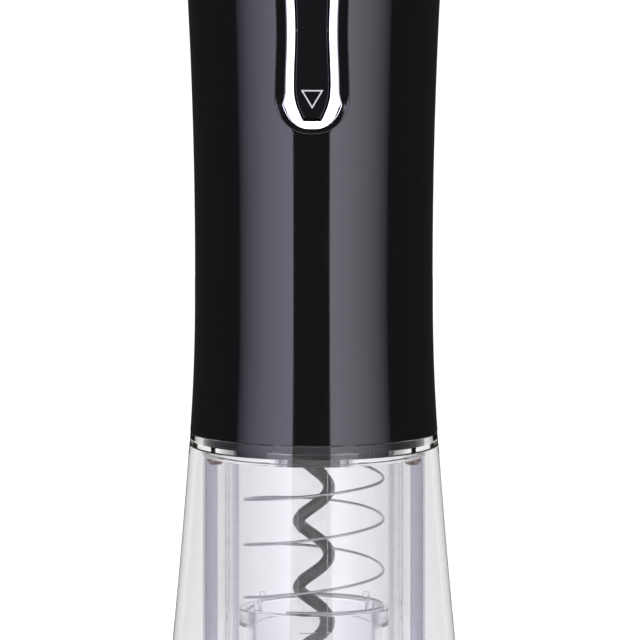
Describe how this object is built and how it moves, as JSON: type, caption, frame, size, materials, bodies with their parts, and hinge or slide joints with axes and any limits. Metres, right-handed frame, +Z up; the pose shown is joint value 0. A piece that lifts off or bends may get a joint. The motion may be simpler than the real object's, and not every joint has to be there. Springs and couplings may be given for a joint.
{
  "type": "electric wine opener",
  "caption": "Battery wine opener: clear flared skirt, spring-loaded cork collar and worm, planetary gearmotor, black grip with a chrome-framed rocker, domed lift-off battery cap.",
  "frame": {"origin": "centre of the clear skirt's resting rim, on the surface it stands on", "axes": "+Z up along the worm's axis; the button faces -Y; +X is to the right as seen from the button side"},
  "size_m": [0.068, 0.068, 0.2562],
  "materials": {
    "clear_plastic": "clear polished styrene, slightly blue, thin edges darker",
    "black_gloss": "piano-black gloss moulding",
    "black_button": "black gloss rocker with thin light-grey triangle outlines",
    "chrome": "bright chrome plating",
    "black_nylon": "dark moulded nylon, fine mould texture",
    "ivory_acetal": "natural acetal",
    "grey_nylon": "light glass-filled nylon",
    "soft_rubber": "soft black rubber",
    "worm_coating": "dark non-stick coating on steel, satin",
    "zinc_steel": "zinc plated steel",
    "warm_screw": "yellow passivated steel screw",
    "spring_steel": "drawn spring wire",
    "bronze": "sintered bronze",
    "brass": "turned brass",
    "copper_windings": "enamelled copper windings on a steel core",
    "ferrite": "ferrite magnet",
    "cell_jacket": "plain dark green cell jacket, steel ends",
    "board_green": "green solder mask",
    "lead_red": "red wire insulation",
    "lead_black": "black wire insulation"
  },
  "bodies": {
    "root": {"clear_skirt": "clear_plastic", "guide_tube": "clear_plastic", "guide_screws": "warm_screw", "chassis_plate": "black_nylon", "output_bearing": "bronze", "thrust_washer": "zinc_steel", "gear_case": "grey_nylon", "gear_case_lid": "zinc_steel", "gear_case_screws": "zinc_steel", "motor_can": "zinc_steel", "motor_magnets": "ferrite", "motor_bearings": "bronze", "motor_end_bell": "black_nylon", "motor_terminals": "brass", "motor_screws": "zinc_steel", "front_housing": "black_gloss", "rear_housing": "black_gloss", "housing_screws": "zinc_steel", "screw_plugs": "black_gloss", "top_ring": "black_nylon", "cap_seal": "soft_rubber", "battery_tray": "black_nylon", "battery_cells": "cell_jacket", "lower_contacts": "spring_steel", "button_bezel": "chrome", "rocker_pin": "zinc_steel", "circuit_board": "board_green", "board_parts": "black_nylon", "switch_bodies": "black_nylon", "board_screws": "zinc_steel", "motor_leads": "lead_red", "battery_leads": "lead_black", "collar_spring": "spring_steel"},
    "spindle": {"drive_spindle": "zinc_steel", "worm_hub": "black_nylon", "worm": "worm_coating"},
    "planet_3a": {"planet_3a": "ivory_acetal"},
    "planet_3b": {"planet_3b": "ivory_acetal"},
    "planet_3c": {"planet_3c": "ivory_acetal"},
    "planet_2a": {"planet_2a": "ivory_acetal"},
    "planet_2b": {"planet_2b": "ivory_acetal"},
    "planet_2c": {"planet_2c": "ivory_acetal"},
    "planet_1a": {"planet_1a": "ivory_acetal"},
    "planet_1b": {"planet_1b": "ivory_acetal"},
    "planet_1c": {"planet_1c": "ivory_acetal"},
    "carrier_2": {"carrier_2": "zinc_steel"},
    "carrier_1": {"carrier_1": "zinc_steel"},
    "rotor": {"motor_shaft": "zinc_steel", "motor_rotor": "copper_windings", "motor_pinion": "brass"},
    "collar": {"cork_collar": "clear_plastic"},
    "rocker": {"rocker_button": "black_button", "rocker_feet": "soft_rubber"},
    "cap": {"battery_cap": "black_gloss", "cap_contact_plate": "spring_steel", "cap_contact_springs": "spring_steel"}
  },
  "joints": [
    {"name": "worm_spin", "type": "hinge", "parent": "root", "child": "spindle", "pos_m": [0, 0, 0.082], "axis": [0, 0, 1], "continuous": true},
    {"name": "carrier_2_spin", "type": "hinge", "parent": "root", "child": "carrier_2", "pos_m": [0, 0, 0.1034], "axis": [0, 0, 1], "continuous": true},
    {"name": "carrier_1_spin", "type": "hinge", "parent": "root", "child": "carrier_1", "pos_m": [0, 0, 0.1115], "axis": [0, 0, 1], "continuous": true},
    {"name": "motor_spin", "type": "hinge", "parent": "root", "child": "rotor", "pos_m": [0, 0, 0.139], "axis": [0, 0, 1], "continuous": true},
    {"name": "planet_3a_spin", "type": "hinge", "parent": "spindle", "child": "planet_3a", "pos_m": [0, 0.009, 0.09845], "axis": [0, 0, 1], "continuous": true},
    {"name": "planet_3b_spin", "type": "hinge", "parent": "spindle", "child": "planet_3b", "pos_m": [-0.00779, -0.0045, 0.09845], "axis": [0, 0, 1], "continuous": true},
    {"name": "planet_3c_spin", "type": "hinge", "parent": "spindle", "child": "planet_3c", "pos_m": [0.00779, -0.0045, 0.09845], "axis": [0, 0, 1], "continuous": true},
    {"name": "planet_2a_spin", "type": "hinge", "parent": "carrier_2", "child": "planet_2a", "pos_m": [0, 0.009, 0.1073], "axis": [0, 0, 1], "continuous": true},
    {"name": "planet_2b_spin", "type": "hinge", "parent": "carrier_2", "child": "planet_2b", "pos_m": [-0.00779, -0.0045, 0.1073], "axis": [0, 0, 1], "continuous": true},
    {"name": "planet_2c_spin", "type": "hinge", "parent": "carrier_2", "child": "planet_2c", "pos_m": [0.00779, -0.0045, 0.1073], "axis": [0, 0, 1], "continuous": true},
    {"name": "planet_1a_spin", "type": "hinge", "parent": "carrier_1", "child": "planet_1a", "pos_m": [0, 0.009, 0.1151], "axis": [0, 0, 1], "continuous": true},
    {"name": "planet_1b_spin", "type": "hinge", "parent": "carrier_1", "child": "planet_1b", "pos_m": [-0.00779, -0.0045, 0.1151], "axis": [0, 0, 1], "continuous": true},
    {"name": "planet_1c_spin", "type": "hinge", "parent": "carrier_1", "child": "planet_1c", "pos_m": [0.00779, -0.0045, 0.1151], "axis": [0, 0, 1], "continuous": true},
    {"name": "collar_slide", "type": "slide", "parent": "root", "child": "collar", "axis": [0, 0, 1], "range_m": [0, 0.026], "stiffness_N_per_m": 300, "springref_m": -0.008, "deforming": ["collar_spring"]},
    {"name": "rocker_tilt", "type": "hinge", "parent": "root", "child": "rocker", "pos_m": [0, -0.02361, 0.1698], "axis": [1, 0, 0], "range_deg": [-2.5, 2.5], "stiffness_Nm_per_rad": 0.47},
    {"name": "cap_lift", "type": "slide", "parent": "root", "child": "cap", "axis": [0, 0, 1], "range_m": [0, 0.04]}
  ],
  "couplings": [
    {"joint": "carrier_2_spin", "follows": "worm_spin", "ratio": 5},
    {"joint": "carrier_1_spin", "follows": "worm_spin", "ratio": 25},
    {"joint": "motor_spin", "follows": "worm_spin", "ratio": 125},
    {"joint": "planet_3a_spin", "follows": "worm_spin", "ratio": -2.6667},
    {"joint": "planet_3b_spin", "follows": "worm_spin", "ratio": -2.6667},
    {"joint": "planet_3c_spin", "follows": "worm_spin", "ratio": -2.6667},
    {"joint": "planet_2a_spin", "follows": "worm_spin", "ratio": -13.333},
    {"joint": "planet_2b_spin", "follows": "worm_spin", "ratio": -13.333},
    {"joint": "planet_2c_spin", "follows": "worm_spin", "ratio": -13.333},
    {"joint": "planet_1a_spin", "follows": "worm_spin", "ratio": -66.667},
    {"joint": "planet_1b_spin", "follows": "worm_spin", "ratio": -66.667},
    {"joint": "planet_1c_spin", "follows": "worm_spin", "ratio": -66.667}
  ]
}
